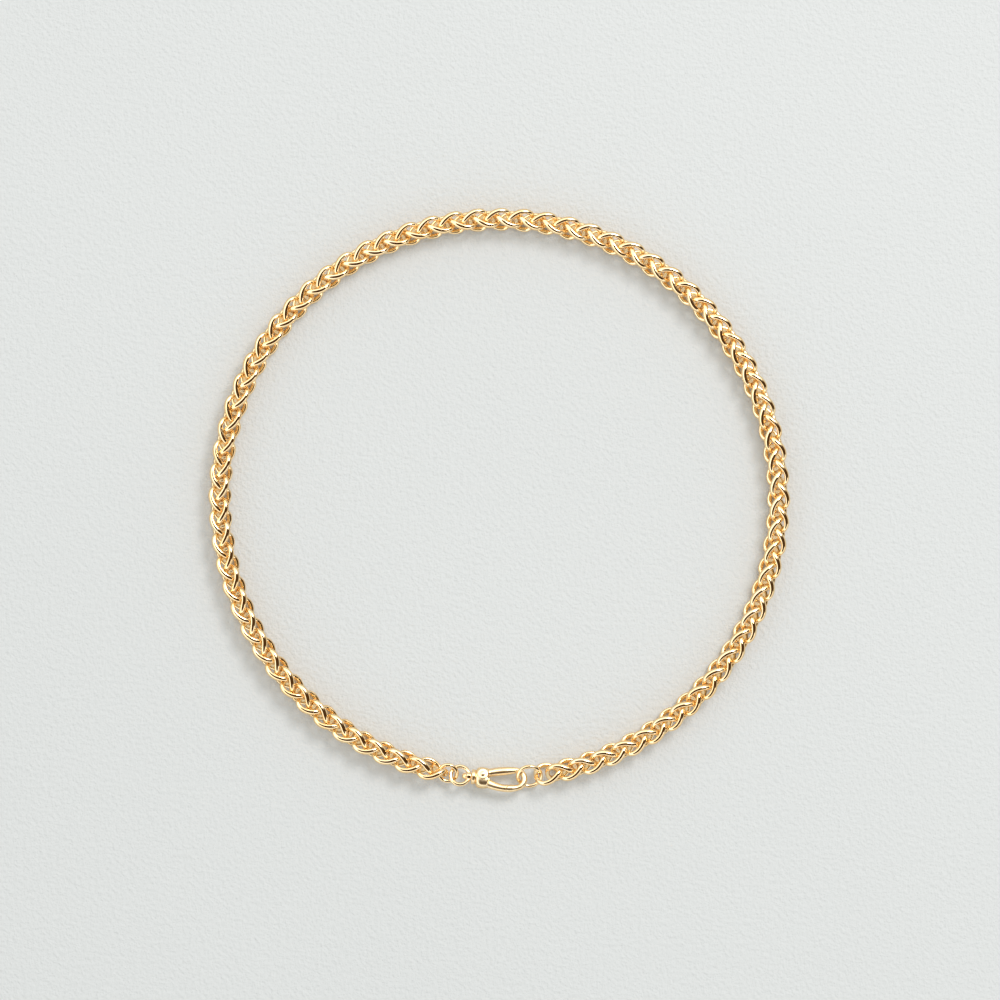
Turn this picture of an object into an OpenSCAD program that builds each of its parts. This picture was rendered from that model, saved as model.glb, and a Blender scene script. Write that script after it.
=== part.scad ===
// Wheat chain necklace lying in a round loop, closed by a swivel hook clasp with a sprung gate

/* [Chain] */
// Width of the chain across its widest loops
chain_w = 6.8; // [6.5:0.1:7.1]
// Radius of the loop at the chain's centre line
loop_r = 72.9; // [60:0.1:90]
// Turn of the links about the chain's own line
chain_roll = 140; // [134:1:150]

/* [End rings] */
// Wire of the rings between chain and clasp
ring_wire = 1.0; // [0.8:0.05:1.05]
// Inner diameter of the small ring at the clasp's end of the chain
small_ring_bore = 3.7; // [3.6:0.1:4.2]
// Inner diameter of the large ring that the hook holds
large_ring_bore = 5.1; // [4.9:0.1:5.6]

/* [Clasp] */
// Wire of the hook where it bends round the large ring
hook_wire = 1.5; // [1.3:0.1:1.7]
// Thickness of the spine from the head to its middle
spine_root = 2.2; // [1.8:0.1:2.4]
// Wire of the gate's arm and of the hook's tip
gate_wire = 1.9; // [1.6:0.1:2.0]
// Radius of the hook's round end at its wire's centre
bend_r = 2.35; // [2.2:0.05:2.6]
// Distance from the collar to the centre of the hook's round end
hook_reach = 10.95; // [10:0.05:12.5]
// Bow of the gate's arm, as a radius
gate_bow = 12; // [10:0.5:16]
// Diameter of the barrel head
head_dia = 5.5; // [5:0.1:6]
// Thickness of the barrel head between its flat faces
head_flat = 4.0; // [3.6:0.1:4.6]
// Length of the barrel head
head_len = 3.3; // [3:0.1:3.8]
// Diameter of the collar between head and swivel ring
collar_dia = 3.8; // [3.4:0.1:4.4]
// Thickness of the collar
collar_t = 1.05; // [0.8:0.05:1.3]
// Diameter of the pin that the gate turns on
gate_pin_dia = 0.8; // [0.6:0.05:1]
// Thickness of the gate's tongue inside the head
tongue_t = 1.1; // [0.9:0.1:1.3]
// Wire of the swivel ring
swivel_wire = 1.05; // [0.9:0.05:1.1]
// Inner diameter of the swivel ring
swivel_ring_bore = 3.8; // [3.7:0.1:4.4]
// Diameter of the swivel pin's shank
swivel_pin_dia = 0.9; // [0.7:0.05:1]

/* [Hidden] */
$fn = 48;

// Running clearance between pieces that turn, and gap of the closed gate at the hook's tip
run_gap = 0.08;
seam_gap = 0.15;
// How much thicker than its wires a round joint is
joint_swell = 0.04;
// Room of the gate's arm at the barrel head
head_gap = 0.15;
// Slack along the loop: ring in ring, end link in small ring, ring on hook, end link in large ring
ring_play = 0.56;
nose_play = 0.76;
hook_play = 0.47;
tail_play = 0.21;
// Angle of the loop at which the clasp's collar sits
clasp_at = 264.7;

// Link: every length is a share of the chain's half width
half_w = chain_w / 2;
link_len = 2.2 * half_w;
nominal_pitch = 0.884 * half_w;
wire_half = 0.178 * half_w;
arm_extra = 0.055 * half_w;
// Reach of the loop from the chain's line: first, second and third wave round the link
reach = [0.93, -0.1, 0.043] * half_w;
// How the quarter turn is spread along the link
turn_early = 1.48;
turn_late = -0.76;
// The arms are widest at the power of the way to the tail
arm_peak = 0.85;
// Where the sections of a link's wire lie round it: the nose is at 0 and the tail at 180 degrees
side_stations = [42, 72, 104, 146];
station_angles = [0, each side_stations, 180, each [for (k = [3 : -1 : 0]) 360 - side_stations[k]]];
stations = len(station_angles);
wire_sides = 5;

function way(u) = link_len * (1 - cos(u)) / 2;
function out(u) = reach[0] * sin(u) + reach[1] * sin(2 * u) + reach[2] * sin(3 * u);
function turned(t) = t + t * (1 - t) * (turn_early + turn_late * (2 * t - 1));
function turn(u) = 90 * (1 - turned(way(u) / link_len));
function centre(u) = [out(u) * cos(turn(u)), out(u) * sin(turn(u)), way(u)];
function unit(v) = v / norm(v);
// Half width of the wire across the arm: round at the bends, wide along the arms
function arm_half(u) = wire_half + arm_extra * sin(180 * pow((1 - cos(u)) / 2, arm_peak));
function ring_of(u) =
    let (along = unit(centre(u + 1) - centre(u - 1)),
         flat = [-sin(turn(u)), cos(turn(u)), 0],
         across = unit(flat - (flat * along) * along),
         outward = cross(along, across))
    [for (k = [0 : wire_sides - 1])
        let (v = 360 * k / wire_sides)
        centre(u) + outward * wire_half * cos(v) + across * arm_half(u) * sin(v)];
link_points = [for (u = station_angles) each ring_of(u)];
// Each second link is the mirror image of the one before it
function mirrored(p) = [p[1], p[0], p[2]];

// Height that each point of a link has above the chain's line, with both kinds of link
function rise(p) = p[0] * cos(chain_roll) - p[1] * sin(chain_roll);
function across_loop(p) = p[0] * sin(chain_roll) + p[1] * cos(chain_roll);
line_z = -min([for (p = link_points) min(rise(p), rise(mirrored(p)))]);
chain_reach = max([for (p = link_points) max(across_loop(p), across_loop(mirrored(p)))]);

// Distances along the loop from the collar, towards the hook's end
swivel_r = (swivel_ring_bore + swivel_wire) / 2;
small_r = (small_ring_bore + ring_wire) / 2;
large_r = (large_ring_bore + ring_wire) / 2;
swivel_at = -(collar_t / 2 + run_gap + swivel_r + swivel_wire / 2);
small_at = swivel_at - (swivel_r + small_r - (swivel_wire + ring_wire) / 2 - ring_play);
nose_at = small_at - (small_r - ring_wire / 2 - wire_half - nose_play);
large_at = hook_reach + bend_r + (large_r - (hook_wire + ring_wire) / 2 - hook_play);
tail_at = large_at + (large_r - ring_wire / 2 - wire_half - tail_play);

function degrees_of(length) = length / loop_r * 180 / PI;
chain_arc = 2 * PI * loop_r - (tail_at - nose_at);
link_count = 2 * round((chain_arc - link_len) / nominal_pitch / 2) + 1;
pitch = (chain_arc - link_len) / (link_count - 1);
half_count = ceil(link_count / 2);
first_angle = clasp_at + degrees_of(nose_at);

// A link's point carried along the loop: its third coordinate runs clockwise along the chain's line
function laid(p, start) =
    let (angle = first_angle - degrees_of(start + p[2]),
         r = loop_r + across_loop(p))
    [r * cos(angle), r * sin(angle) + loop_y, line_z + rise(p)];

function tube_faces(rings, sides, flip) =
    [for (i = [0 : rings - 1], j = [0 : sides - 1])
        let (a = i * sides + j,
             b = i * sides + (j + 1) % sides,
             c = ((i + 1) % rings) * sides + (j + 1) % sides,
             d = ((i + 1) % rings) * sides + j)
        each (flip ? [[a, c, b], [a, d, c]] : [[a, b, c], [a, c, d]])];

// One link of the chain; the first and the last are of the mirrored kind
module link(index) {
    odd_kind = index % 2 == 0;
    points = [for (p = link_points) laid(odd_kind ? mirrored(p) : p, index * pitch)];
    polyhedron(points, tube_faces(stations, wire_sides, !odd_kind));
}

// Moves a piece made along +X to the clasp's place on the loop
module at_clasp() {
    translate([0, loop_y, line_z])
        rotate([0, 0, clasp_at + 90])
            translate([0, -loop_r, 0])
                rotate([clasp_roll, 0, 0])
                    children();
}

// Moves a ring to its place on the loop, a distance from the collar
module on_loop(distance) {
    translate([0, loop_y, line_z])
        rotate([0, 0, clasp_at + 90 + degrees_of(distance)])
            translate([0, -loop_r, 0])
                children();
}

module ring(bore, wire) {
    rotate_extrude()
        translate([(bore + wire) / 2, 0])
            circle(d = wire, $fn = 32);
}

// Rolls of the clasp about its own line and of its swivel ring about the pin
clasp_roll = -17.2;
swivel_roll = -1.7;
// Tilts of the two end rings about the chain's line, and how far each lies above that line
small_ring_tilt = 23.5;
small_ring_lift = 0;
large_ring_tilt = 30.9;
large_ring_lift = -0.09;

// Clasp: places along its own line, with the collar's middle at zero
head_x = collar_t / 2;
head_end = head_x + head_len;
// How deep the barrel head is set into the collar
head_bite = 0.05;
// Barrel head, as shares of its radius and of its length
head_shape = [[0.72, 0], [0.88, 0.1], [0.98, 0.28], [1, 0.5], [0.98, 0.72], [0.88, 0.9], [0.72, 1]];
pivot = [head_x + 0.55 * head_len, 0.09 * head_dia];
pivot_boss_r = 1.45;
pivot_boss_h = 0.3;
bend_at = [hook_reach, 0.17 * bend_r];
spine_slope = 88;
// How deep the spine is set into the head, and how far it sags under a straight line to the bend
spine_bite = 0.8;
spine_sag = 0.3;
spine_from = [head_end - spine_bite, 0.21 * head_dia];
bend_top = bend_at + bend_r * [cos(spine_slope), sin(spine_slope)];
spine_mid = [0.72 * hook_reach, bend_top[1] - spine_sag];
bend_stop = -75;
tip_root = bend_at + bend_r * [cos(bend_stop), sin(bend_stop)];
// The gate's arm and the hook's tip lie on one bow, parted by a slanted seam
bow_centre = tip_root - gate_bow * [cos(bend_stop), sin(bend_stop)];
seam_angle = -87.5;
seam_slant = -28;
tip_overlap = 4;
arm_angle = -acos((head_end + head_gap + gate_wire / 2 - bow_centre[0]) / gate_bow);
seam = on_bow(seam_angle);
arm_root = on_bow(arm_angle);
function on_bow(angle) = bow_centre + gate_bow * [cos(angle), sin(angle)];

// Gate's tongue: a round knuckle on the pin, and a neck to the arm's root
gate_open = 18;
slot_t = tongue_t + 2 * run_gap;
knuckle_r = 1.1;
neck_half = 0.6;
neck_aim = atan2(arm_root[1] - pivot[1], arm_root[0] - pivot[0]);
pin_head_d = 1.6 * gate_pin_dia;
pin_head_h = 0.24;

// Swivel ring's boss and its pin
boss_d = 2.2;
boss_len = 1.25;
boss_from = -(collar_t / 2 + run_gap);
// How far the pin's shank reaches into the head
pin_reach = 0.25;
pin_end = collar_t / 2 + pin_reach;
pin_bulb = [1.0, 1.3, 1.8];

// The loop's centre, so that the whole necklace is centred on the origin
clasp_turn = clasp_at + 90;
bow_low = loop_r + (gate_bow - bow_centre[1]) * cos(clasp_roll);
clasp_reach = bow_low * cos(clasp_turn) - bow_centre[0] * sin(clasp_turn) + gate_wire / 2;
loop_y = (clasp_reach - loop_r - chain_reach) / 2;

// A round bar between two points in the clasp's plane
module bar(from, to, d1, d2) {
    run = to - from;
    translate([from[0], from[1], 0])
        rotate([0, 0, atan2(run[1], run[0])])
            rotate([0, 90, 0])
                cylinder(h = norm(run), d1 = d1, d2 = d2);
}

// A ball that joins two bars, a hair thicker than their wire
module ball(at, wire) {
    translate([at[0], at[1], 0])
        sphere(d = wire + joint_swell);
}

// A round wire along an arc in the clasp's plane
module arc_wire(middle, radius, from, to, wire) {
    translate([middle[0], middle[1], 0])
        rotate([0, 0, from])
            rotate_extrude(angle = to - from)
                translate([radius, 0])
                    circle(d = wire, $fn = 32);
}

// Everything on one side of the slanted seam: side 0 is the hook tip's, side -1 the gate's
module beyond_seam(side, gap) {
    translate([seam[0] - gap, seam[1], 0])
        rotate([0, 0, seam_slant])
            translate([side * gate_bow, -gate_bow / 2, -gate_bow / 2])
                cube(gate_bow);
}

// A round rod along the clasp's line
module line_rod(from, to, dia) {
    translate([from, 0, 0])
        rotate([0, 90, 0])
            cylinder(h = to - from, d = dia);
}

// Barrel with two flat faces and a round boss over the gate's pin
module head() {
    intersection() {
        rotate([0, 90, 0])
            rotate_extrude()
                polygon([[0, head_x - head_bite], each [for (row = head_shape)
                    [row[0] * head_dia / 2, head_x - head_bite + row[1] * (head_len + head_bite)]],
                    [0, head_end]]);
        translate([0, -head_dia, -head_flat / 2])
            cube([2 * head_end, 2 * head_dia, head_flat]);
    }
    translate([pivot[0], pivot[1], 0])
        cylinder(h = head_flat / 2 + pivot_boss_h, r = pivot_boss_r);
}

// Slot for the gate's tongue, open through its whole swing
module slot() {
    low = neck_aim;
    high = neck_aim + gate_open;
    side = neck_half + run_gap;
    low_from = pivot + side * [sin(low), -cos(low)];
    high_from = pivot + side * [-sin(high), cos(high)];
    translate([0, 0, -slot_t / 2]) {
        translate(pivot)
            cylinder(h = slot_t, r = knuckle_r + run_gap);
        linear_extrude(height = slot_t)
            polygon([low_from, low_from + head_len * [cos(low), sin(low)],
                     high_from + head_len * [cos(high), sin(high)], high_from]);
    }
}

module clasp_body() {
    color("gold") at_clasp() difference() {
        union() {
            line_rod(-collar_t / 2, collar_t / 2, collar_dia);
            head();
            bar(spine_from, spine_mid, spine_root, spine_root);
            ball(spine_mid, spine_root);
            bar(spine_mid, bend_top, spine_root, hook_wire);
            ball(bend_top, hook_wire);
            arc_wire(bend_at, bend_r, bend_stop, spine_slope, hook_wire);
            ball(tip_root, hook_wire);
            difference() {
                bar(tip_root, on_bow(seam_angle - tip_overlap), hook_wire, gate_wire);
                beyond_seam(-1, 0);
            }
        }
        slot();
        line_rod(-collar_t, pin_end + run_gap, swivel_pin_dia + run_gap);
        translate([pivot[0], pivot[1], -head_flat])
            cylinder(h = 2 * head_flat, d = gate_pin_dia + run_gap);
    }
}

module gate() {
    color("gold") at_clasp() {
        difference() {
            arc_wire(bow_centre, gate_bow, arm_angle, seam_angle + tip_overlap, gate_wire);
            beyond_seam(0, seam_gap);
        }
        ball(arm_root, gate_wire);
        difference() {
            translate([0, 0, -tongue_t / 2])
                linear_extrude(height = tongue_t) {
                    translate(pivot)
                        circle(r = knuckle_r);
                    neck_outline();
                }
            translate([pivot[0], pivot[1], -tongue_t])
                cylinder(h = 2 * tongue_t, d = gate_pin_dia + run_gap);
        }
    }
}

module neck_outline() {
    side = neck_half * [-sin(neck_aim), cos(neck_aim)];
    polygon([pivot + side, pivot - side, arm_root - side, arm_root + side]);
}

// Rivet with a head on the boss, flush with the flat face below
module gate_pin() {
    boss_top = head_flat / 2 + pivot_boss_h;
    color("gold") at_clasp() translate([pivot[0], pivot[1], 0]) {
        translate([0, 0, -head_flat / 2])
            cylinder(h = head_flat / 2 + boss_top + run_gap + pin_head_h / 2, d = gate_pin_dia);
        translate([0, 0, boss_top + run_gap])
            cylinder(h = pin_head_h, d = pin_head_d);
    }
}

module swivel_ring() {
    color("gold") at_clasp() rotate([swivel_roll, 0, 0]) difference() {
        union() {
            translate([swivel_at, 0, 0])
                ring(swivel_ring_bore, swivel_wire);
            line_rod(boss_from - boss_len, boss_from, boss_d);
        }
        line_rod(boss_from - boss_len - 1, boss_from + 1, swivel_pin_dia + run_gap);
    }
}

module swivel_pin() {
    bulb_from = boss_from - boss_len - run_gap;
    color("gold") at_clasp() {
        line_rod(bulb_from, pin_end, swivel_pin_dia);
        translate([bulb_from - pin_bulb[0], 0, 0])
            rotate([0, 90, 0])
                cylinder(h = pin_bulb[0], d1 = pin_bulb[1], d2 = pin_bulb[2]);
    }
}

module end_ring_small() {
    color("gold") on_loop(small_at)
        translate([0, 0, small_ring_lift])
            rotate([small_ring_tilt, 0, 0])
                ring(small_ring_bore, ring_wire);
}

module end_ring_large() {
    color("gold") on_loop(large_at)
        translate([0, 0, large_ring_lift])
            rotate([large_ring_tilt, 0, 0])
                ring(large_ring_bore, ring_wire);
}

module chain_a() {
    color("goldenrod") for (i = [0 : half_count - 1]) link(i);
}

module chain_b() {
    color("goldenrod") for (i = [half_count : link_count - 1]) link(i);
}

chain_a();
chain_b();
end_ring_small();
swivel_ring();
swivel_pin();
clasp_body();
gate();
gate_pin();
end_ring_large();
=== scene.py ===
import math
from types import SimpleNamespace

import bpy
import numpy as np
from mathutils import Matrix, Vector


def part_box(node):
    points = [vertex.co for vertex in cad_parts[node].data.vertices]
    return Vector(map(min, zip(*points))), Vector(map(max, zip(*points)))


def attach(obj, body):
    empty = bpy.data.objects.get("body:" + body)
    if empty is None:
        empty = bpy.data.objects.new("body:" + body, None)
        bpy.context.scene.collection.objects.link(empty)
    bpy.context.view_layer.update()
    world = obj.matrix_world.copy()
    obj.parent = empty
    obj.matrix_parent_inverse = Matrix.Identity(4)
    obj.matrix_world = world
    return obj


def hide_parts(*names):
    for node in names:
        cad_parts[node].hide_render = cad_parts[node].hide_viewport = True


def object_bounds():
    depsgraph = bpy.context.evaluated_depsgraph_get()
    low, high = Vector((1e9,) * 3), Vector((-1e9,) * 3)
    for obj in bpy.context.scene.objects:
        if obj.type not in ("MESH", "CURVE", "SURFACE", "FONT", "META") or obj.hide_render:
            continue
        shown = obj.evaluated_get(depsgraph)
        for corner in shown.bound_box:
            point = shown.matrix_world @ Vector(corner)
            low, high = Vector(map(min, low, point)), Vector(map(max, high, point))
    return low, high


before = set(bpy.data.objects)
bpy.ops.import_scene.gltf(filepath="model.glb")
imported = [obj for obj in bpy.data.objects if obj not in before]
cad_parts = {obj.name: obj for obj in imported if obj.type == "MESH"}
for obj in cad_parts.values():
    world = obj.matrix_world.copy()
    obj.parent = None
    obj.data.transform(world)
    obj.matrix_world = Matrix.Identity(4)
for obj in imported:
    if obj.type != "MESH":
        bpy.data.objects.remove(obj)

bl_info = {
    "name": "Wheat Chain Necklace",
    "version": (1, 0, 0),
    "blender": (4, 5, 0),
    "location": "3D View > Sidebar > Necklace",
    "description": "Polished gold links, rings and swivel clasp over the packed necklace",
    "category": "Object",
}

MM = 0.001
CAD_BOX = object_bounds()

# Sizes that the clasp's body and its gate share
TONGUE = 1.1 * MM            # thickness of the gate's tongue
KNUCKLE = 1.1 * MM           # radius of the tongue's round end about the rivet
NECK = 0.6 * MM              # half the tongue's width between its round end and the arm
GATE_GAP = 0.15 * MM         # room between the gate's arm and the head, and at the seam
GATE_SWING = math.radians(18)
SHARP = math.radians(35)     # faces that meet at more than this keep a sharp edge
PIN_SHARP = math.radians(40)

# Places on the clasp, in degrees on their own arcs
BEND_STOP = -75              # where the hook's round end passes into its tip
SEAM_ANGLE = -87.5           # where tip and gate meet, on the gate's bow
SEAM_SLANT = -28             # direction of the cut between them
ROOT_ANGLE = -107.1          # where the tongue meets the gate's arm, on the gate's bow


# Settings

class WheatLinks(bpy.types.PropertyGroup):
    """Sizes of the chain's links and of the loop that they lie in"""
    width: bpy.props.FloatProperty(
        name="Width", description="Width of the chain across its widest loops",
        default=6.8 * MM, unit="LENGTH", precision=5)
    loop_radius: bpy.props.FloatProperty(
        name="Loop radius", description="Radius of the loop at the chain's line",
        default=72.9 * MM, unit="LENGTH", precision=5)
    roll: bpy.props.FloatProperty(
        name="Roll", description="Turn of the links about the chain's own line",
        default=math.radians(140), subtype="ANGLE")
    sway: bpy.props.FloatProperty(
        name="Sway", description="How far single links lie turned from the rest",
        default=math.radians(0.7), subtype="ANGLE")
    stations: bpy.props.IntProperty(
        name="Stations", description="Sections along the wire of one link", default=60, min=12)
    sides: bpy.props.IntProperty(
        name="Sides", description="Corners of each section of a link's wire", default=16, min=6)


class RingSizes(bpy.types.PropertyGroup):
    """Sizes of the jump rings and of the swivel ring"""
    wire: bpy.props.FloatProperty(
        name="Ring wire", description="Wire of the two end rings",
        default=1.0 * MM, unit="LENGTH", precision=5)
    small_bore: bpy.props.FloatProperty(
        name="Small bore", description="Inner diameter of the small end ring",
        default=3.7 * MM, unit="LENGTH", precision=5)
    large_bore: bpy.props.FloatProperty(
        name="Large bore", description="Inner diameter of the ring that the hook holds",
        default=5.1 * MM, unit="LENGTH", precision=5)
    swivel_wire: bpy.props.FloatProperty(
        name="Swivel wire", description="Wire of the swivel ring",
        default=1.05 * MM, unit="LENGTH", precision=5)
    swivel_bore: bpy.props.FloatProperty(
        name="Swivel bore", description="Inner diameter of the swivel ring",
        default=3.8 * MM, unit="LENGTH", precision=5)
    small_tilt: bpy.props.FloatProperty(
        name="Small ring's tilt", description="Tilt of the small ring about the chain's line",
        default=math.radians(23.5), subtype="ANGLE")
    large_tilt: bpy.props.FloatProperty(
        name="Large ring's tilt", description="Tilt of the large ring about the chain's line",
        default=math.radians(30.9), subtype="ANGLE")
    large_lift: bpy.props.FloatProperty(
        name="Large ring's lift", description="Height of the large ring above the chain's line",
        default=-0.09 * MM, unit="LENGTH", precision=5)


class ClaspSizes(bpy.types.PropertyGroup):
    """Sizes of the swivel clasp"""
    angle: bpy.props.FloatProperty(
        name="Place on the loop", description="Angle of the loop at which the collar sits",
        default=math.radians(264.7), subtype="ANGLE")
    roll: bpy.props.FloatProperty(
        name="Clasp's roll", description="Turn of the clasp about its own line",
        default=math.radians(-17.2), subtype="ANGLE")
    ring_roll: bpy.props.FloatProperty(
        name="Swivel ring's roll", description="Turn of the swivel ring about its pin",
        default=math.radians(-1.7), subtype="ANGLE")
    hook_wire: bpy.props.FloatProperty(
        name="Hook wire", description="Wire of the hook's round end",
        default=1.5 * MM, unit="LENGTH", precision=5)
    gate_wire: bpy.props.FloatProperty(
        name="Gate wire", description="Wire of the gate's arm and of the hook's tip",
        default=1.9 * MM, unit="LENGTH", precision=5)
    bend_radius: bpy.props.FloatProperty(
        name="Bend", description="Radius of the hook's round end at its wire's centre",
        default=2.35 * MM, unit="LENGTH", precision=5)
    reach: bpy.props.FloatProperty(
        name="Reach", description="Distance from the collar to the centre of the round end",
        default=10.95 * MM, unit="LENGTH", precision=5)
    bow: bpy.props.FloatProperty(
        name="Gate's bow", description="Radius that the gate's arm is bowed to",
        default=12 * MM, unit="LENGTH", precision=5)
    head: bpy.props.FloatProperty(
        name="Head", description="Diameter of the barrel head",
        default=5.5 * MM, unit="LENGTH", precision=5)
    head_length: bpy.props.FloatProperty(
        name="Head's length", description="Length of the barrel head",
        default=3.3 * MM, unit="LENGTH", precision=5)
    collar: bpy.props.FloatProperty(
        name="Collar", description="Diameter of the collar",
        default=3.8 * MM, unit="LENGTH", precision=5)
    collar_width: bpy.props.FloatProperty(
        name="Collar's width", description="Thickness of the collar",
        default=1.05 * MM, unit="LENGTH", precision=5)
    rivet: bpy.props.FloatProperty(
        name="Rivet", description="Diameter of the rivet that the gate turns on",
        default=0.8 * MM, unit="LENGTH", precision=5)
    pin: bpy.props.FloatProperty(
        name="Swivel pin", description="Diameter of the swivel pin's shank",
        default=0.9 * MM, unit="LENGTH", precision=5)


class GoldLook(bpy.types.PropertyGroup):
    """Colours and polish of the gold"""
    light_tone: bpy.props.FloatVectorProperty(
        name="Light tone", description="Gold where it is polished clean",
        default=(1.0, 0.80, 0.49), subtype="COLOR", min=0, max=1)
    deep_tone: bpy.props.FloatVectorProperty(
        name="Deep tone", description="Gold where the alloy looks redder",
        default=(0.98, 0.72, 0.38), subtype="COLOR", min=0, max=1)
    edge_tone: bpy.props.FloatVectorProperty(
        name="Edge tone", description="Tint of the gold where it is seen at a slant",
        default=(0.92, 0.66, 0.38), subtype="COLOR", min=0, max=1)
    roughness: bpy.props.FloatProperty(
        name="Roughness", description="Roughness of the polish", default=0.05, min=0, max=1)


class StageLook(bpy.types.PropertyGroup):
    """Floor, lights and camera"""
    floor_tone: bpy.props.FloatVectorProperty(
        name="Floor", description="Colour of the floor",
        default=(0.838, 0.841, 0.838), subtype="COLOR", min=0, max=1)
    view_width: bpy.props.FloatProperty(
        name="View", description="Width of the picture at the chain",
        default=261 * MM, unit="LENGTH", precision=5)
    lens: bpy.props.FloatProperty(
        name="Lens", description="Focal length of the camera in millimetres", default=135)
    light_azimuth: bpy.props.FloatProperty(
        name="Light's azimuth", description="Direction that the key light comes from",
        default=math.radians(52), subtype="ANGLE")
    light_height: bpy.props.FloatProperty(
        name="Light's height", description="Height of the key light above the horizon",
        default=math.radians(52), subtype="ANGLE")


# Shapes worked out as grids of points

def quads(rows, cols, closed_rows):
    """Faces of a grid whose columns close into a ring, and whose rows may close too."""
    strips = rows if closed_rows else rows - 1
    r, c = np.meshgrid(np.arange(strips), np.arange(cols), indexing="ij")
    r2, c2 = (r + 1) % rows, (c + 1) % cols
    return np.stack([r * cols + c, r * cols + c2, r2 * cols + c2, r2 * cols + c], -1).reshape(-1, 4)


def held_volume(points, faces):
    """Volume that four-sided faces hold: a sixth of each triangle's corners multiplied out."""
    a, b, c, d = (points[faces[:, k]] for k in range(4))
    boxes = np.einsum("ij,ij->i", a, np.cross(b, c)) + np.einsum("ij,ij->i", a, np.cross(c, d))
    return boxes.sum() / 6


def shell(grid, closed_rows=False):
    """One or many equal closed surfaces from grids of points: each open end is closed by a flat
    face, and the faces are turned outwards by the sign of the volume that the first one holds."""
    grids = grid.reshape(-1, *grid.shape[-3:])
    count, rows, cols, _ = grids.shape
    side = quads(rows, cols, closed_rows)
    ends = [] if closed_rows else [list(range(cols))[::-1], list(range((rows - 1) * cols, rows * cols))]
    centred = grids[0].reshape(-1, 3) - grids[0].reshape(-1, 3).mean(0)
    if held_volume(centred, side) < 0:
        side = side[:, ::-1]
        ends = [end[::-1] for end in ends]
    step = rows * cols
    faces = (side[None] + step * np.arange(count)[:, None, None]).reshape(-1, 4).tolist()
    faces += [[k + step * n for k in end] for n in range(count) for end in ends]
    return grids.reshape(-1, 3), faces


def joined(*shells):
    """Shells put into one list of points and one of faces."""
    starts = np.cumsum([0] + [len(points) for points, _ in shells])
    faces = [[k + int(start) for k in face] for (_, some), start in zip(shells, starts) for face in some]
    return np.concatenate([points for points, _ in shells]), faces


def eased(rows, steps):
    """Rows of a table drawn out into a smooth run: a cubic between each two rows, whose slope at a
    row is the harmonic mean of the slopes on its two sides, and flat where these disagree."""
    rows = np.asarray(rows, float)
    rise = np.diff(rows, axis=0)
    product = rise[:-1] * rise[1:]
    total = rise[:-1] + rise[1:]
    inner = np.where(product > 0, 2 * product / np.where(product > 0, total, 1), 0)
    slope = np.concatenate([rise[:1], inner, rise[-1:]])
    t = np.linspace(0, 1, steps, endpoint=False)[None, :, None]
    a, b, m, n = rows[:-1, None], rows[1:, None], slope[:-1, None], slope[1:, None]
    run = ((2 * t**3 - 3 * t**2 + 1) * a + (t**3 - 2 * t**2 + t) * m
           + (3 * t**2 - 2 * t**3) * b + (t**3 - t**2) * n)
    return np.concatenate([run.reshape(-1, rows.shape[1]), rows[-1:]])


def swept(run, sides):
    """A bar that follows a run of sections in the clasp's plane. Each row is a place x, y, the
    direction in degrees that the section faces, its half width in the plane, its half thickness
    and its power: a point at angle v is the 2/power-th power of cos v and sin v, with their signs."""
    x, y, facing, half, thick, power = (column[:, None] for column in run.T)
    v = np.linspace(0, 2 * np.pi, sides, endpoint=False)[None]
    across = half * np.sign(np.cos(v)) * np.abs(np.cos(v)) ** (2 / power)
    up = thick * np.sign(np.sin(v)) * np.abs(np.sin(v)) ** (2 / power)
    angle = np.radians(facing)
    return np.stack([x - across * np.sin(angle), y + across * np.cos(angle), up + 0 * x], -1)


def turned_on_line(profile, sides):
    """A round body on the x line: each row of the profile is a place on the line and a radius."""
    v = np.linspace(0, 2 * np.pi, sides, endpoint=False)[None]
    x, r = (column[:, None] for column in np.asarray(profile, float).T)
    return np.stack([x + 0 * v, r * np.cos(v), r * np.sin(v)], -1)


def turned_upright(profile, at, sides):
    """A round body on an upright line: each row of the profile is a height and a radius."""
    v = np.linspace(0, 2 * np.pi, sides, endpoint=False)[None]
    z, r = (column[:, None] for column in np.asarray(profile, float).T)
    return np.stack([at[0] + r * np.cos(v), at[1] + r * np.sin(v), z + 0 * v], -1)


def plate(outline, thickness):
    """A flat plate: its outline at both faces, in the clasp's plane."""
    outline = np.asarray(outline, float)
    flat = np.concatenate([outline, np.zeros((len(outline), 1))], 1)
    half = np.array([0, 0, thickness / 2])
    return np.stack([flat - half, flat + half])


def wire_ring(bore, wire, seam_at, stations=144, sides=24):
    """A ring of round wire with a soldered joint: the wire swells a little at the joint, as the
    bell curve of the angle from it."""
    a = np.linspace(0, 2 * np.pi, stations, endpoint=False)[:, None]
    v = np.linspace(0, 2 * np.pi, sides, endpoint=False)[None]
    off = (a - seam_at + np.pi) % (2 * np.pi) - np.pi
    radius = wire / 2 * (1 + 0.03 * np.exp(-(off / 0.09) ** 2) - 0.035 * np.exp(-(off / 0.025) ** 2))
    r = (bore + wire) / 2 + radius * np.cos(v)
    return np.stack([r * np.cos(a), r * np.sin(a), radius * np.sin(v) + 0 * a], -1)


def arc(middle, radius, angles):
    """Places on an arc in the clasp's plane, for angles in degrees."""
    a = np.radians(np.asarray(angles, float))
    return np.stack([middle[0] + radius * np.cos(a), middle[1] + radius * np.sin(a)], -1)


# Places

def shift(x, y, z):
    """Matrix that moves a piece."""
    m = np.eye(4)
    m[:3, 3] = x, y, z
    return m


def turn(axis, angle):
    """Matrix that turns a piece about the x line (0) or the upright line (2)."""
    a, b = [(1, 2), None, (0, 1)][axis]
    m = np.eye(4)
    m[a, a] = m[b, b] = math.cos(angle)
    m[a, b], m[b, a] = -math.sin(angle), math.sin(angle)
    return m


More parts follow.
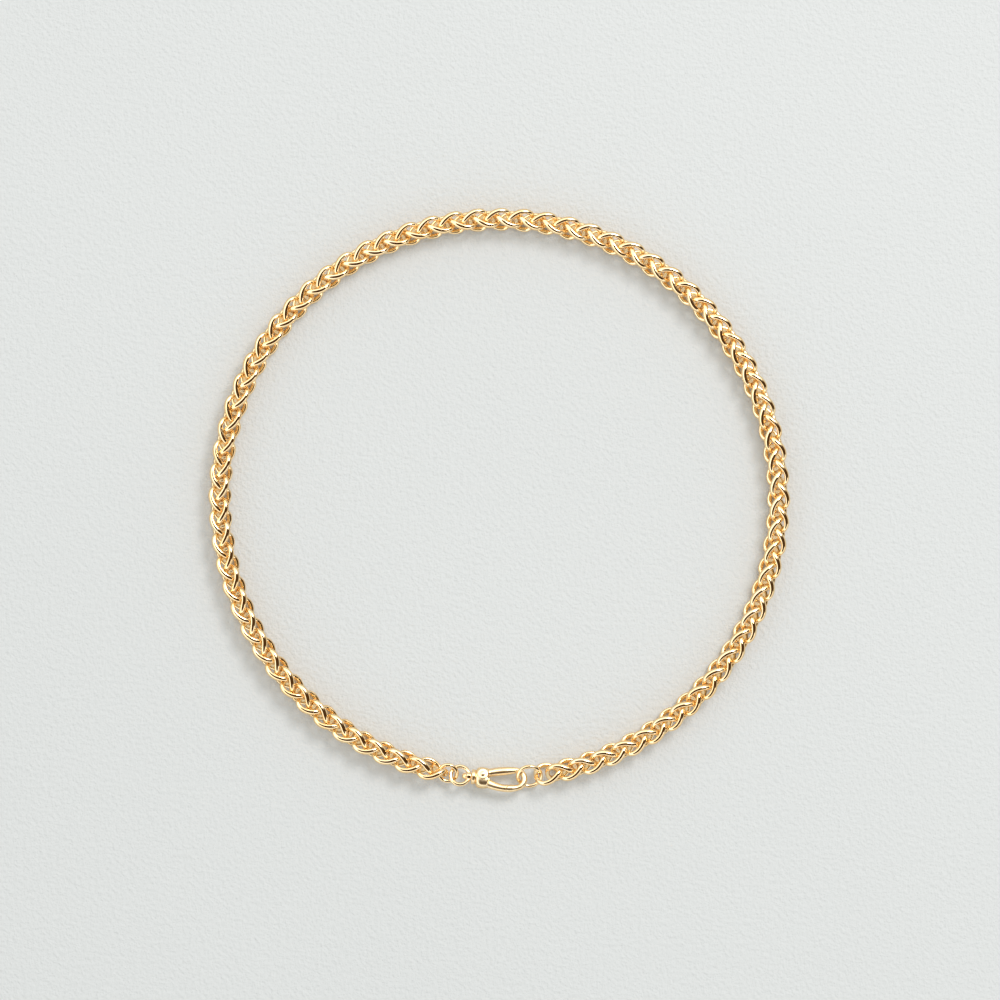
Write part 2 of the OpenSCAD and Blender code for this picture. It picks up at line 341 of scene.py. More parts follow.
def carried(matrix, grid):
    """Points of a grid moved by a matrix."""
    return grid @ matrix[:3, :3].T + matrix[:3, 3]


def plan():
    """Places of the pieces, worked out from the sizes as the solids' places were. Distances along
    the loop run from the collar towards the hook's end. The loop's height and centre are the
    small end ring's: its box is centred on the chain's line."""
    scene = bpy.context.scene
    links, rings, clasp = scene.wheat_links, scene.ring_sizes, scene.clasp_sizes
    p = SimpleNamespace(loop_r=links.loop_radius, half_w=links.width / 2)
    low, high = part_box("end_ring_small")
    p.line_z = (low[2] + high[2]) / 2
    ring_x, ring_y = (low[0] + high[0]) / 2, (low[1] + high[1]) / 2
    p.loop_y = ring_y + math.sqrt(p.loop_r**2 - ring_x**2)
    p.run_gap = 0.08 * MM
    # Play between the swivel and small rings, the first link, the hook, and the last link
    ring_play, nose_play, hook_play, tail_play = 0.56 * MM, 0.76 * MM, 0.47 * MM, 0.21 * MM
    wire_half = 0.178 * p.half_w
    swivel_r = (rings.swivel_bore + rings.swivel_wire) / 2
    small_r = (rings.small_bore + rings.wire) / 2
    large_r = (rings.large_bore + rings.wire) / 2
    p.swivel_at = -(clasp.collar_width / 2 + p.run_gap + swivel_r + rings.swivel_wire / 2)
    p.small_at = p.swivel_at - (swivel_r + small_r - (rings.swivel_wire + rings.wire) / 2 - ring_play)
    p.nose_at = p.small_at - (small_r - rings.wire / 2 - wire_half - nose_play)
    p.large_at = (clasp.reach + clasp.bend_radius
                  + large_r - (clasp.hook_wire + rings.wire) / 2 - hook_play)
    p.tail_at = p.large_at + large_r - rings.wire / 2 - wire_half - tail_play
    p.link_length = 2.2 * p.half_w
    nominal_pitch = 0.884 * p.half_w
    chain_arc = 2 * math.pi * p.loop_r - (p.tail_at - p.nose_at)
    p.count = 2 * round((chain_arc - p.link_length) / nominal_pitch / 2) + 1
    p.pitch = (chain_arc - p.link_length) / (p.count - 1)
    p.first_angle = clasp.angle + p.nose_at / p.loop_r
    centre = shift(0, p.loop_y, p.line_z)

    def on_loop(distance):
        """Matrix of a place on the loop, with its x line along the chain."""
        angle = clasp.angle + math.pi / 2 + distance / p.loop_r
        return centre @ turn(2, angle) @ shift(0, -p.loop_r, 0)

    p.on_loop = on_loop
    p.at_clasp = on_loop(0) @ turn(0, clasp.roll)
    p.head_x = clasp.collar_width / 2
    p.head_end = p.head_x + clasp.head_length
    p.pivot = np.array([p.head_x + 0.55 * clasp.head_length, 0.09 * clasp.head])
    p.bend_at = np.array([clasp.reach, 0.17 * clasp.bend_radius])
    tip_root = arc(p.bend_at, clasp.bend_radius, [BEND_STOP])[0]
    p.bow_centre = tip_root - arc((0, 0), clasp.bow, [BEND_STOP])[0]
    p.seam_wide = 1 / math.cos(math.radians(SEAM_SLANT - (SEAM_ANGLE + 90)))
    (p.root,) = arc(p.bow_centre, clasp.bow, [ROOT_ANGLE])
    return p


# Meshes and pieces

def gold_piece(name, made, body, nodes, gold, crease=None):
    """A finished piece from its points and faces: it rides on a body, stands for its solids, and
    has sharp edges where two faces meet at more than the crease's angle."""
    points, faces = made
    mesh = bpy.data.meshes.new(name)
    mesh.from_pydata(points.tolist(), [], faces)
    mesh.shade_smooth()
    piece = bpy.data.objects.new(name, mesh)
    bpy.context.scene.collection.objects.link(piece)
    if crease:
        mesh.set_sharp_from_angle(angle=crease)
    piece.data.materials.append(gold)
    if body:
        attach(piece, body)
        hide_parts(*nodes)
    return piece


def worked(piece, how, *shells):
    """Joins shells to a piece (UNION) or cuts them out of it (DIFFERENCE), one by one."""
    for made in shells:
        tool = gold_piece("tool", made, None, (), piece.data.materials[0])
        step = piece.modifiers.new("work", "BOOLEAN")
        step.operation = how
        step.solver = "EXACT"
        step.object = tool
        bpy.context.view_layer.update()
        graph = bpy.context.evaluated_depsgraph_get()
        done = bpy.data.meshes.new_from_object(piece.evaluated_get(graph))
        piece.modifiers.remove(step)
        old, piece.data = piece.data, done
        done.name = piece.name
        bpy.data.meshes.remove(old)
        bpy.data.meshes.remove(tool.data)


# Links

def link_line(u, p):
    """Middle line of a link for angles u, 0 at the nose and pi at the tail. Along the chain it
    goes as 1 - cos u; it swells away from the line in three sine waves; and it turns a quarter
    about the line, quickest at first."""
    length = p.link_length
    along = length * (1 - np.cos(u)) / 2
    out = p.half_w * (0.93 * np.sin(u) - 0.1 * np.sin(2 * u) + 0.043 * np.sin(3 * u))
    t = along / length
    phi = np.pi / 2 * (1 - t - t * (1 - t) * (1.48 - 0.76 * (2 * t - 1)))
    return np.stack([out * np.cos(phi), out * np.sin(phi), along], -1), phi


def link_skin(p, stations, sides):
    """Surface of a link: an oval section square to the middle line. The wire is round at nose and
    tail and wide along the arms, by the sine of a power of the way."""
    u = np.linspace(0, 2 * np.pi, stations, endpoint=False)
    step = 1e-3
    centre, phi = link_line(u, p)
    along = link_line(u + step, p)[0] - link_line(u - step, p)[0]
    along /= np.linalg.norm(along, axis=-1, keepdims=True)
    flat = np.stack([-np.sin(phi), np.cos(phi), 0 * phi], -1)
    across = flat - (flat * along).sum(-1, keepdims=True) * along
    across /= np.linalg.norm(across, axis=-1, keepdims=True)
    outward = np.cross(along, across)
    wire = 0.174 * p.half_w
    arm = wire + 0.052 * p.half_w * np.sin(np.pi * ((1 - np.cos(u)) / 2) ** 0.85)
    v = np.linspace(0, 2 * np.pi, sides, endpoint=False)[None, :, None]
    return (centre[:, None] + outward[:, None] * wire * np.cos(v)
            + across[:, None] * arm[:, None, None] * np.sin(v))


def laid(skin, start, roll, p):
    """Links laid on the loop: the way along the chain becomes an angle, clockwise, and the rest,
    turned by the roll, a distance from the loop's centre and a height."""
    x, y = skin[..., 0], skin[..., 1]
    shape = (-1,) + (1,) * (skin.ndim - 1)
    roll, start = roll.reshape(shape), start.reshape(shape)
    rise = x * np.cos(roll) - y * np.sin(roll)
    away = p.loop_r + x * np.sin(roll) + y * np.cos(roll)
    angle = p.first_angle - (start + skin[..., 2]) / p.loop_r
    return np.stack([away * np.cos(angle), away * np.sin(angle) + p.loop_y, p.line_z + rise], -1)


def chain_run(first, last):
    """Links from first to last as two shells: each second link is the mirror image of the one
    before it, and each lies turned by its own small share of the sway."""
    p = plan()
    links = bpy.context.scene.wheat_links
    skin = link_skin(p, links.stations, links.sides)
    index = np.arange(first, last)
    golden_angle = 2.399963
    sway = links.sway * np.sin(golden_angle * index**2)
    shells = []
    for kind in (0, 1):
        some = index % 2 == kind
        points = skin[..., [1, 0, 2]] if kind == 0 else skin
        shells.append(shell(laid(points, index[some] * p.pitch, links.roll + sway[some], p), True))
    return joined(*shells)


# Clasp

def on_clasp(p, grid):
    """Surface of a part of the clasp, put in its place."""
    return shell(carried(p.at_clasp, grid))


def clasp_run(p, clasp):
    """Sections of the clasp's body from the collar to the hook's tip, as one bar: collar, barrel
    head, the step down to the spine, spine, round end, and tip cut at the slanted seam."""
    r, head = clasp.collar / 2, clasp.head / 2
    start, width = -clasp.collar_width / 2, clasp.collar_width
    length = clasp.head_length
    # Collar: share of its width, share of its radius
    rim = [(0, 0.80), (0.03, 0.91), (0.12, 0.975), (0.3, 1), (0.7, 1), (0.88, 0.97), (0.97, 0.88)]
    collar = [[start + a * width, 0, 0, b * r, b * r, 2] for a, b in rim]
    # Head: share of its length, upper and lower edge, half thickness, power
    barrel = [(0.00, 0.62, -0.62, 0.58, 2.0), (0.03, 0.66, -0.68, 0.60, 2.1),
              (0.10, 0.80, -0.84, 0.66, 2.3), (0.22, 0.91, -0.95, 0.71, 2.6),
              (0.42, 0.955, -1.00, 0.735, 2.8), (0.66, 0.95, -1.01, 0.735, 2.8),
              (0.86, 0.925, -0.985, 0.72, 2.8), (0.95, 0.90, -0.96, 0.70, 2.7),
              (0.99, 0.885, -0.93, 0.67, 2.6), (1.00, 0.87, -0.88, 0.62, 2.5),
              (1.00, 0.86, -0.40, 0.50, 2.2)]
    head_rows = [[p.head_x + a * length, (hi + lo) / 2 * head, 0, (hi - lo) / 2 * head, z * head, n]
                 for a, hi, lo, z, n in barrel]
    # Spine: place, direction, half width, half thickness
    spine = [(3.90, 1.34, 6, 1.04, 1.14), (4.20, 1.43, 10, 1.06, 1.08), (5.40, 1.76, 13, 1.08, 1.05),
             (6.80, 2.06, 11, 1.10, 1.03), (8.00, 2.28, 9.5, 1.09, 1.00), (9.20, 2.48, 8, 1.00, 0.92),
             (10.2, 2.63, 6, 0.89, 0.84)]
    spine_rows = [[x * MM, y * MM, facing, half * MM, thick * MM, 2.05]
                  for x, y, facing, half, thick in spine]
    hook = clasp.hook_wire / 2
    angles = np.linspace(88, BEND_STOP, 12)
    bend = [[x, y, a - 90, hook, hook, 2] for (x, y), a in
            zip(arc(p.bend_at, clasp.bend_radius, angles), angles)]
    tip_half = clasp.gate_wire / 2
    tip_angles = BEND_STOP + (SEAM_ANGLE - BEND_STOP) * np.array([0.25, 0.5])
    tip_halves = hook + (tip_half - hook) * np.array([0.45, 0.9])
    tip = [[x, y, a - 90, half, half, 2] for (x, y), a, half in
           zip(arc(p.bow_centre, clasp.bow, tip_angles), tip_angles, tip_halves)]
    (end_x, end_y), = arc(p.bow_centre, clasp.bow, [SEAM_ANGLE])
    cut = [[end_x, end_y, SEAM_SLANT - 180, tip_half * p.seam_wide, tip_half, 2]]
    front = eased(collar + head_rows + spine_rows + bend[:1], 6)
    return np.concatenate([front, eased(bend + tip + cut, 6)[1:]])


def gate_run(p, clasp):
    """Sections of the gate's arm from its square end at the head to the slanted seam: it follows
    the bow, and is thicker towards the head."""
    half = clasp.gate_wire / 2
    end_x = p.head_end + GATE_GAP
    end_angle = -math.degrees(math.acos((end_x - p.bow_centre[0]) / clasp.bow))
    square_to = 0.06
    # Share of the way, share of the arm's half width and thickness, power
    arm = [(0.0, 0.90, 0.80, 2.6), (0.004, 1.06, 0.92, 2.6), (0.02, 1.15, 0.98, 2.5),
           (square_to, 1.18, 1.0, 2.4), (0.25, 1.12, 1.0, 2.1), (0.5, 1.04, 1.0, 2),
           (0.75, 1.0, 1.0, 2), (0.9, 1.0, 1.0, 2)]
    rows = []
    for share, wide, thick, power in arm:
        angle = end_angle + (SEAM_ANGLE - end_angle) * share
        (x, y), = arc(p.bow_centre, clasp.bow, [angle])
        facing = (angle + 90) * min(1, share / square_to)
        rows.append([x, y, facing, half * wide, half * thick, power])
    (x, y), = arc(p.bow_centre, clasp.bow, [SEAM_ANGLE])
    rows.append([x - GATE_GAP, y, SEAM_SLANT, half * p.seam_wide, half, 2])
    return eased(rows, 8)


# Finishes

def group(name, inputs, outputs):
    """A new shader node group with its sockets, and the nodes that read and write them."""
    tree = bpy.data.node_groups.new(name, "ShaderNodeTree")
    for label, kind, value in inputs:
        socket = tree.interface.new_socket(label, in_out="INPUT", socket_type=kind)
        if value is not None:
            socket.default_value = value
    for label, kind in outputs:
        tree.interface.new_socket(label, in_out="OUTPUT", socket_type=kind)
    return tree, tree.nodes.new("NodeGroupInput"), tree.nodes.new("NodeGroupOutput")


def put(tree, kind, **values):
    """A new node; values name its properties, or its input sockets with spaces as underscores."""
    node = tree.nodes.new(kind)
    for key, value in values.items():
        label = key.replace("_", " ")
        if label in node.inputs:
            node.inputs[label].default_value = value
        else:
            setattr(node, key, value)
    return node


def alloy_tone_group():
    """Colour that drifts between two tones of gold in soft patches."""
    tree, given, result = group(
        "Alloy tone",
        [("Light", "NodeSocketColor", None), ("Deep", "NodeSocketColor", None),
         ("Patch Scale", "NodeSocketFloat", 300.0)],
        [("Color", "NodeSocketColor"), ("Patches", "NodeSocketFloat")])
    place = put(tree, "ShaderNodeTexCoord")
    patches = put(tree, "ShaderNodeTexNoise", Detail=3.0, Roughness=0.55)
    spread = put(tree, "ShaderNodeMapRange", interpolation_type="SMOOTHSTEP")
    spread.inputs["From Min"].default_value = 0.35
    spread.inputs["From Max"].default_value = 0.68
    mix = put(tree, "ShaderNodeMix", data_type="RGBA")
    tree.links.new(place.outputs["Object"], patches.inputs["Vector"])
    tree.links.new(given.outputs["Patch Scale"], patches.inputs["Scale"])
    tree.links.new(patches.outputs["Fac"], spread.inputs["Value"])
    tree.links.new(spread.outputs["Result"], mix.inputs["Factor"])
    tree.links.new(given.outputs["Light"], mix.inputs[6])
    tree.links.new(given.outputs["Deep"], mix.inputs[7])
    tree.links.new(mix.outputs[2], result.inputs["Color"])
    tree.links.new(spread.outputs["Result"], result.inputs["Patches"])
    return tree


def polish_group():
    """Marks of the polishing wheel: a haze that comes and goes, and hair scratches, which are the
    narrow edges of stretched cells. The height feeds a bump."""
    tree, given, result = group(
        "Polish marks",
        [("Roughness", "NodeSocketFloat", 0.1), ("Haze", "NodeSocketFloat", 0.05),
         ("Scratch Scale", "NodeSocketFloat", 900.0)],
        [("Roughness", "NodeSocketFloat"), ("Height", "NodeSocketFloat")])
    place = put(tree, "ShaderNodeTexCoord")
    haze = put(tree, "ShaderNodeTexNoise", Scale=520.0, Detail=5.0, Roughness=0.6)
    stretch = put(tree, "ShaderNodeMapping", Scale=(1.0, 0.12, 0.35), Rotation=(0.3, 0.9, 0.6))
    cells = put(tree, "ShaderNodeTexVoronoi", feature="DISTANCE_TO_EDGE")
    hair = put(tree, "ShaderNodeMapRange")
    hair.inputs["From Max"].default_value = 0.03
    centred = put(tree, "ShaderNodeMath", operation="SUBTRACT")
    centred.inputs[1].default_value = 0.5
    scaled = put(tree, "ShaderNodeMath", operation="MULTIPLY")
    total = put(tree, "ShaderNodeMath", operation="ADD", use_clamp=True)
    tree.links.new(place.outputs["Object"], haze.inputs["Vector"])
    tree.links.new(place.outputs["Object"], stretch.inputs["Vector"])
    tree.links.new(stretch.outputs["Vector"], cells.inputs["Vector"])
    tree.links.new(given.outputs["Scratch Scale"], cells.inputs["Scale"])
    tree.links.new(cells.outputs["Distance"], hair.inputs["Value"])
    tree.links.new(haze.outputs["Fac"], centred.inputs[0])
    tree.links.new(centred.outputs[0], scaled.inputs[0])
    tree.links.new(given.outputs["Haze"], scaled.inputs[1])
    tree.links.new(scaled.outputs[0], total.inputs[0])
    tree.links.new(given.outputs["Roughness"], total.inputs[1])
    tree.links.new(total.outputs[0], result.inputs["Roughness"])
    tree.links.new(hair.outputs["Result"], result.inputs["Height"])
    return tree


def gold(name, share_deep=1.0, rougher=0.0, patch_scale=300.0):
    """Polished gold: the tone drifts with the alloy, and the polish has haze and hair scratches."""
    found = bpy.data.materials.get(name)
    if found:
        return found
    look = bpy.context.scene.gold_look
    material = bpy.data.materials.new(name)
    material.use_nodes = True
    tree = material.node_tree
    shader = tree.nodes["Principled BSDF"]
    shader.inputs["Metallic"].default_value = 1.0
    shader.inputs["IOR"].default_value = 1.5
    shader.inputs["Specular Tint"].default_value = (*look.edge_tone, 1)
    light, deep = np.array(look.light_tone), np.array(look.deep_tone)
    tone_tree = bpy.data.node_groups.get("Alloy tone") or alloy_tone_group()
    tone = put(tree, "ShaderNodeGroup", node_tree=tone_tree)
    tone.inputs["Light"].default_value = (*light, 1)
    tone.inputs["Deep"].default_value = (*(light + (deep - light) * share_deep), 1)
    tone.inputs["Patch Scale"].default_value = patch_scale
    marks_tree = bpy.data.node_groups.get("Polish marks") or polish_group()
    marks = put(tree, "ShaderNodeGroup", node_tree=marks_tree)
    marks.inputs["Roughness"].default_value = look.roughness + rougher
    marks.inputs["Haze"].default_value = 0.08
    bump = put(tree, "ShaderNodeBump", Strength=0.25, Distance=0.004 * MM)
    tree.links.new(tone.outputs["Color"], shader.inputs["Base Color"])
    tree.links.new(marks.outputs["Roughness"], shader.inputs["Roughness"])
    tree.links.new(marks.outputs["Height"], bump.inputs["Height"])
    tree.links.new(bump.outputs["Normal"], shader.inputs["Normal"])
    return material


def clasp_gold():
    """The clasp's gold: a more even tone and a softer polish than the chain's."""
    return gold("clasp gold", share_deep=0.8, rougher=0.24)


def paper():
    """Pale matt card: soft clouds of tone, and a fine tooth of noise in the bump."""
    look = bpy.context.scene.stage_look
    material = bpy.data.materials.new("pale card")
    material.use_nodes = True
    tree = material.node_tree
    shader = tree.nodes["Principled BSDF"]
    shader.inputs["Roughness"].default_value = 0.85
    shader.inputs["Specular IOR Level"].default_value = 0.2
    place = put(tree, "ShaderNodeTexCoord")
    tooth = put(tree, "ShaderNodeTexNoise", Scale=900.0, Detail=4.0, Roughness=0.6)
    clouds = put(tree, "ShaderNodeTexNoise", Scale=9.0, Detail=2.0, Roughness=0.5)
    mix = put(tree, "ShaderNodeMix", data_type="RGBA")
    tone = np.array(look.floor_tone)
    mix.inputs[6].default_value = (*(tone * 0.985), 1)
    mix.inputs[7].default_value = (*np.minimum(tone * 1.015, 1), 1)
    bump = put(tree, "ShaderNodeBump", Strength=1.0, Distance=0.45 * MM)
    tree.links.new(place.outputs["Object"], tooth.inputs["Vector"])
    tree.links.new(place.outputs["Object"], clouds.inputs["Vector"])
    tree.links.new(clouds.outputs["Fac"], mix.inputs["Factor"])
    tree.links.new(mix.outputs[2], shader.inputs["Base Color"])
    tree.links.new(tooth.outputs["Fac"], bump.inputs["Height"])
    tree.links.new(bump.outputs["Normal"], shader.inputs["Normal"])
    return material


# Operators

class NECKLACE_OT_links(bpy.types.Operator):
    """Lay the chain's links round the loop"""
    bl_idname = "necklace.links"
    bl_label = "Chain links"

    def execute(self, context):
        count = plan().count
        half = -(-count // 2)
        look = gold("chain gold", patch_scale=240.0)
        gold_piece("chain_links_a", chain_run(0, half), "necklace", ["chain_a"], look)
        gold_piece("chain_links_b", chain_run(half, count), "necklace", ["chain_b"], look)
        return {"FINISHED"}


class NECKLACE_OT_end_rings(bpy.types.Operator):
    """Make the two jump rings between chain and clasp"""
    bl_idname = "necklace.end_rings"
    bl_label = "End rings"

    def execute(self, context):
        p = plan()
        s = context.scene.ring_sizes
        look = gold("ring gold", share_deep=0.7)
        small = p.on_loop(p.small_at) @ turn(0, s.small_tilt)
        large = p.on_loop(p.large_at) @ shift(0, 0, s.large_lift) @ turn(0, s.large_tilt)
        for name, bore, place, seam in [("end_ring_small", s.small_bore, small, 2.0),
                                        ("end_ring_large", s.large_bore, large, 0.7)]:
            made = shell(carried(place, wire_ring(bore, s.wire, seam)), True)
            gold_piece(name + "_wire", made, "necklace", [name], look)
        return {"FINISHED"}


class NECKLACE_OT_swivel(bpy.types.Operator):
    """Make the swivel ring with its boss, and the pin that it turns on"""
    bl_idname = "necklace.swivel"
    bl_label = "Swivel"

    def execute(self, context):
        p = plan()
        s, clasp = context.scene.ring_sizes, context.scene.clasp_sizes
        boss_r, boss_length = 1.1 * MM, 1.25 * MM
        boss_from = -(clasp.collar_width / 2 + p.run_gap)
        boss_end = boss_from - boss_length
        place = p.at_clasp @ turn(0, clasp.ring_roll)
        hoop = wire_ring(s.swivel_bore, s.swivel_wire, 2.6) + [p.swivel_at, 0, 0]
        # Boss: share of its length from the collar's side, share of its radius
        shape = [(0, 0.82), (0.03, 0.92), (0.12, 0.985), (0.3, 1), (0.7, 1), (0.88, 0.97),
                 (0.97, 0.9), (1, 0.78)]
        profile = [(boss_from - a * boss_length, b * boss_r) for a, b in shape]
        bore_r = (clasp.pin + p.run_gap) / 2
        bore = [(boss_end - MM, bore_r), (boss_from + MM, bore_r)]
        ring = gold_piece("swivel_ring_wire", shell(carried(place, hoop), True), "necklace",
                          ["swivel_ring"], gold("ring gold", share_deep=0.7))
        worked(ring, "UNION", shell(carried(place, turned_on_line(eased(profile, 3), 40))))
        worked(ring, "DIFFERENCE", shell(carried(place, turned_on_line(bore, 24))))
        ring.data.shade_smooth()
        ring.data.set_sharp_from_angle(angle=SHARP)
        pin_r = clasp.pin / 2
        bulb_at = boss_end - p.run_gap
        # Pin: distance from the bulb's flat side towards the chain, radius
        bulb = [(1.0, 0.05), (0.985, 0.25), (0.93, 0.42), (0.82, 0.56), (0.6, 0.68), (0.35, 0.78),
                (0.12, 0.88), (0.03, 0.885), (0, 0.83)]
        rows = [(bulb_at - a * MM, b * MM) for a, b in bulb] + [(bulb_at, pin_r)]
        rows += [(clasp.collar_width / 2 + 0.25 * MM, pin_r)]
        gold_piece("swivel_pin_bulb", shell(carried(p.at_clasp, turned_on_line(rows, 40))), "necklace",
                   ["swivel_pin"], gold("pin gold", share_deep=1.2, rougher=0.03),
                   crease=PIN_SHARP)
        return {"FINISHED"}


class NECKLACE_OT_clasp(bpy.types.Operator):
    """Make the clasp's body, with its slot for the gate, and the gate's rivet"""
    bl_idname = "necklace.clasp"
    bl_label = "Clasp"

    def execute(self, context):
        p = plan()
        clasp = context.scene.clasp_sizes
        body = gold_piece("clasp_casting", on_clasp(p, swept(clasp_run(p, clasp), 56)), "necklace",
                          ["clasp_body"], clasp_gold())
        # The head's flat face, and the boss on it
        flat, boss_r, boss_h = 2.0 * MM, 1.45 * MM, 0.3 * MM
        # Boss over the rivet: height above the head's face, share of its radius
        dome = [(0, boss_r)] + [(flat + a * boss_h, b * boss_r) for a, b in
                                [(0.3, 1), (0.65, 0.97), (0.88, 0.92), (0.98, 0.83), (1, 0.7)]]
        worked(body, "UNION", on_clasp(p, turned_upright(dome, p.pivot, 64)))
        slot = TONGUE + 2 * p.run_gap
        low = math.atan2(p.root[1] - p.pivot[1], p.root[0] - p.pivot[0])
        high = low + GATE_SWING
        below = p.pivot + (NECK + p.run_gap) * np.array([math.sin(low), -math.cos(low)])
        above = p.pivot + (NECK + p.run_gap) * np.array([-math.sin(high), math.cos(high)])
        out = clasp.head_length
        fan = [below, below + out * np.array([math.cos(low), math.sin(low)]),
               above + out * np.array([math.cos(high), math.sin(high)]), above]
        round_r = KNUCKLE + p.run_gap
        rivet_r = (clasp.rivet + p.run_gap) / 2
        worked(body, "DIFFERENCE", on_clasp(p, plate(fan, slot)),
               on_clasp(p, turned_upright([(-slot / 2, round_r), (slot / 2, round_r)], p.pivot, 48)),
               on_clasp(p, turned_upright([(-2 * flat, rivet_r), (2 * flat, rivet_r)], p.pivot, 32)))
        body.data.shade_smooth()
        body.data.set_sharp_from_angle(angle=SHARP)
        top = flat + boss_h + p.run_gap
        head_r = 0.8 * clasp.rivet
        # Rivet: height and radius from its foot to the middle of its domed head
        rows = [(-flat - 0.02 * MM, 0.7 * clasp.rivet / 2), (-flat + 0.03 * MM, clasp.rivet / 2),
                (top, clasp.rivet / 2), (top, head_r * 0.96), (top + 0.04 * MM, head_r),
                (top + 0.12 * MM, head_r * 0.98), (top + 0.19 * MM, head_r * 0.85),
                (top + 0.23 * MM, head_r * 0.6), (top + 0.24 * MM, head_r * 0.3)]
        gold_piece("gate_rivet", on_clasp(p, turned_upright(rows, p.pivot, 40)), "necklace",
                   ["gate_pin"], gold("pin gold", share_deep=1.2, rougher=0.03), crease=PIN_SHARP)
        return {"FINISHED"}


class NECKLACE_OT_gate(bpy.types.Operator):
    """Make the gate: its bowed arm, and the tongue that turns on the rivet"""
    bl_idname = "necklace.gate"
    bl_label = "Gate"

    def execute(self, context):
        p = plan()
        clasp = context.scene.clasp_sizes
        arm = gold_piece("gate_lever", on_clasp(p, swept(gate_run(p, clasp), 48)), "gate",
                         ["gate"], clasp_gold())
        aim = math.degrees(math.atan2(p.root[1] - p.pivot[1], p.root[0] - p.pivot[0]))
        spread = math.degrees(math.asin(NECK / KNUCKLE))
        back = arc(p.pivot, KNUCKLE, np.linspace(aim + spread, aim + 360 - spread, 48))
        side = NECK * np.array([-math.sin(math.radians(aim)), math.cos(math.radians(aim))])
        outline = np.concatenate([back, [p.root - side, p.root + side]])
        worked(arm, "UNION", on_clasp(p, plate(outline, TONGUE)))
        rivet_r = (clasp.rivet + p.run_gap) / 2
        hole = turned_upright([(-TONGUE, rivet_r), (TONGUE, rivet_r)], p.pivot, 32)
        worked(arm, "DIFFERENCE", on_clasp(p, hole))
        arm.data.shade_smooth()
        arm.data.set_sharp_from_angle(angle=SHARP)
        return {"FINISHED"}


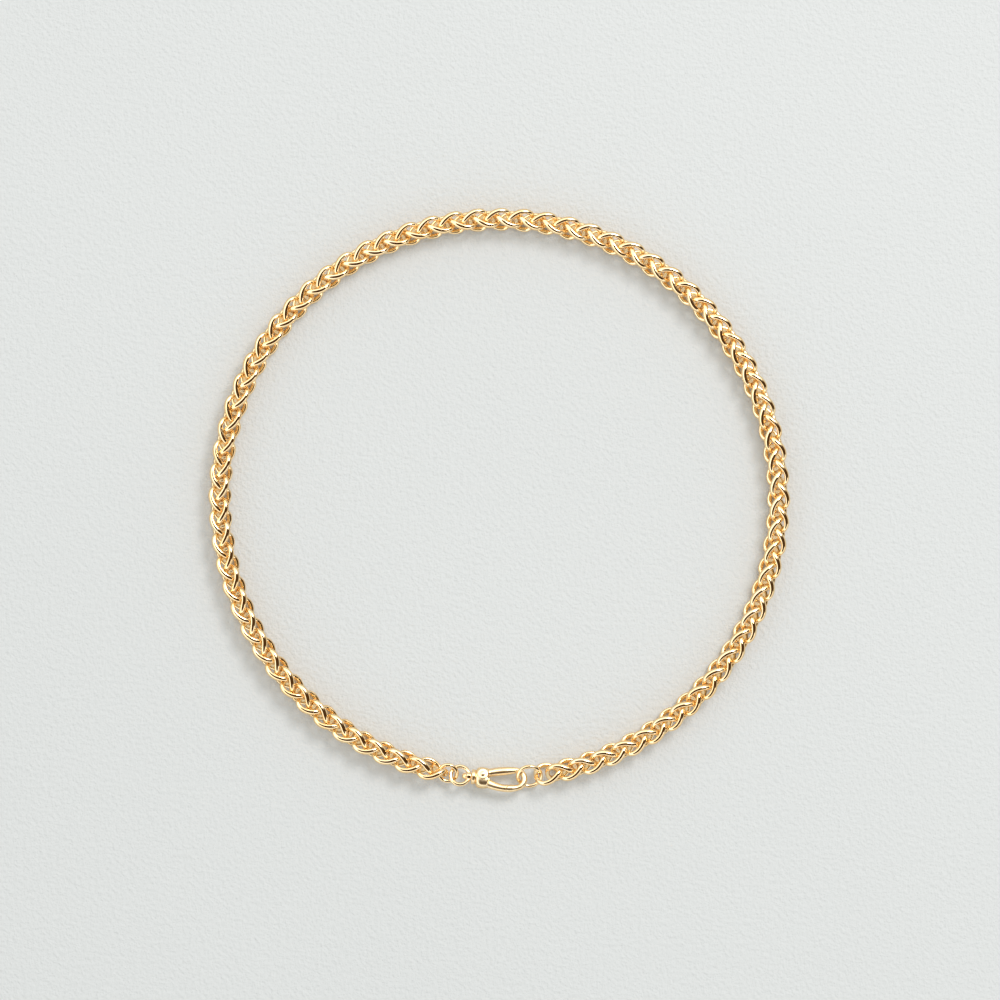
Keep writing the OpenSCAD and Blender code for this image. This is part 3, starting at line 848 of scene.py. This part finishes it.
class NECKLACE_OT_stage(bpy.types.Operator):
    """Lay the pale floor, and set the lights and the camera"""
    bl_idname = "necklace.stage"
    bl_label = "Stage"

    def execute(self, context):
        scene = context.scene
        look = scene.stage_look
        low, high = CAD_BOX
        half = 2.0
        floor_z = low[2] - 0.1 * MM
        mesh = bpy.data.meshes.new("floor")
        mesh.from_pydata([(-half, -half, floor_z), (half, -half, floor_z), (half, half, floor_z),
                          (-half, half, floor_z)], [], [(0, 1, 2, 3)])
        floor = bpy.data.objects.new("floor", mesh)
        scene.collection.objects.link(floor)
        mesh.materials.append(paper())
        self.light(scene, look)
        self.sky(scene)
        self.camera(scene, look, (low[2] + high[2]) / 2)
        scene.view_settings.view_transform = "Standard"
        return {"FINISHED"}

    def light(self, scene, look):
        """A square softbox that looks down at the loop from the upper right."""
        away = 2.2
        flat = math.cos(look.light_height)
        place = away * np.array([flat * math.cos(look.light_azimuth), flat * math.sin(look.light_azimuth),
                                 math.sin(look.light_height)])
        lamp = bpy.data.lights.new("softbox", "AREA")
        lamp.shape = "SQUARE"
        lamp.size = 0.78
        lamp.energy = 18.6
        holder = bpy.data.objects.new("softbox", lamp)
        holder.location = place
        holder.rotation_euler = (0, math.pi / 2 - look.light_height, look.light_azimuth)
        scene.collection.objects.link(holder)

    def sky(self, scene):
        """A bright studio all round. Polished metal sees it with two dark gaps, one overhead where
        the camera hangs and a low one at the right, and darker towards the horizon."""
        world = bpy.data.worlds.new("studio")
        scene.world = world
        world.use_nodes = True
        tree = world.node_tree
        tree.nodes.clear()
        out = put(tree, "ShaderNodeOutputWorld")
        plain = put(tree, "ShaderNodeBackground", Color=(0.93, 0.96, 0.94, 1), Strength=0.70)
        seen = put(tree, "ShaderNodeBackground", Strength=1.92)
        which = put(tree, "ShaderNodeMixShader")
        path = put(tree, "ShaderNodeLightPath")
        way = put(tree, "ShaderNodeTexCoord")
        height = put(tree, "ShaderNodeSeparateXYZ")
        ramp = put(tree, "ShaderNodeValToRGB")
        ramp.color_ramp.elements[0].position = 0.0
        ramp.color_ramp.elements[0].color = (0.14, 0.12, 0.10, 1)
        ramp.color_ramp.elements[1].position = 0.8
        ramp.color_ramp.elements[1].color = (1.0, 1.0, 1.0, 1)
        half_way = ramp.color_ramp.elements.new(0.45)
        half_way.color = (0.84, 0.84, 0.84, 1)
        tree.links.new(way.outputs["Generated"], height.inputs[0])
        tree.links.new(height.outputs["Z"], ramp.inputs["Fac"])
        sky = ramp.outputs["Color"]
        # Where each dark gap lies, and the angles from its middle where it ends and is full
        for aim, ends, full in (((0.15, -0.25, 1.0), 42, 38), ((1.0, 0.1, 0.55), 26, 21)):
            patch = put(tree, "ShaderNodeVectorMath", operation="DOT_PRODUCT")
            patch.inputs[1].default_value = np.array(aim) / np.linalg.norm(aim)
            dark = put(tree, "ShaderNodeMapRange", interpolation_type="SMOOTHSTEP")
            dark.inputs["From Min"].default_value = math.cos(math.radians(ends))
            dark.inputs["From Max"].default_value = math.cos(math.radians(full))
            shade = put(tree, "ShaderNodeMix", data_type="RGBA", clamp_factor=False)
            shade.inputs[7].default_value = (0.04, 0.021, 0.008, 1)
            tree.links.new(way.outputs["Generated"], patch.inputs[0])
            tree.links.new(patch.outputs["Value"], dark.inputs["Value"])
            tree.links.new(dark.outputs["Result"], shade.inputs["Factor"])
            tree.links.new(sky, shade.inputs[6])
            sky = shade.outputs[2]
        tree.links.new(sky, seen.inputs["Color"])
        tree.links.new(path.outputs["Is Glossy Ray"], which.inputs["Fac"])
        tree.links.new(plain.outputs["Background"], which.inputs[1])
        tree.links.new(seen.outputs["Background"], which.inputs[2])
        tree.links.new(which.outputs["Shader"], out.inputs["Surface"])

    def camera(self, scene, look, height):
        """Straight above the loop, so far away that the view's width fills the picture."""
        lens = bpy.data.cameras.new("camera")
        lens.lens = look.lens
        lens.clip_start, lens.clip_end = 0.01, 20
        holder = bpy.data.objects.new("camera", lens)
        holder.location = (0.196 * MM, 0.037 * MM, height + look.view_width * look.lens / lens.sensor_width)
        scene.collection.objects.link(holder)
        scene.camera = holder


class NECKLACE_PT_panel(bpy.types.Panel):
    """Sizes and finishes of the necklace"""
    bl_idname = "NECKLACE_PT_panel"
    bl_label = "Necklace"
    bl_space_type = "VIEW_3D"
    bl_region_type = "UI"
    bl_category = "Necklace"

    def draw(self, context):
        for settings in SETTINGS:
            box = self.layout.box()
            owner = getattr(context.scene, settings)
            for prop in owner.bl_rna.properties:
                if prop.identifier not in ("rna_type", "name"):
                    box.prop(owner, prop.identifier)
        for operator in OPERATORS:
            self.layout.operator(operator.bl_idname)


SETTINGS = {"wheat_links": WheatLinks, "ring_sizes": RingSizes, "clasp_sizes": ClaspSizes,
            "gold_look": GoldLook, "stage_look": StageLook}
OPERATORS = [NECKLACE_OT_stage, NECKLACE_OT_links, NECKLACE_OT_end_rings, NECKLACE_OT_swivel,
             NECKLACE_OT_clasp, NECKLACE_OT_gate]


def register():
    for kind in [*SETTINGS.values(), *OPERATORS, NECKLACE_PT_panel]:
        bpy.utils.register_class(kind)
    for name, kind in SETTINGS.items():
        setattr(bpy.types.Scene, name, bpy.props.PointerProperty(type=kind))


def unregister():
    for name in SETTINGS:
        delattr(bpy.types.Scene, name)
    for kind in reversed([*SETTINGS.values(), *OPERATORS, NECKLACE_PT_panel]):
        bpy.utils.unregister_class(kind)


def main():
    register()
    bpy.ops.necklace.stage()
    bpy.ops.necklace.links()
    bpy.ops.necklace.end_rings()
    bpy.ops.necklace.swivel()
    bpy.ops.necklace.clasp()
    bpy.ops.necklace.gate()


if __name__ == "__main__":
    main()
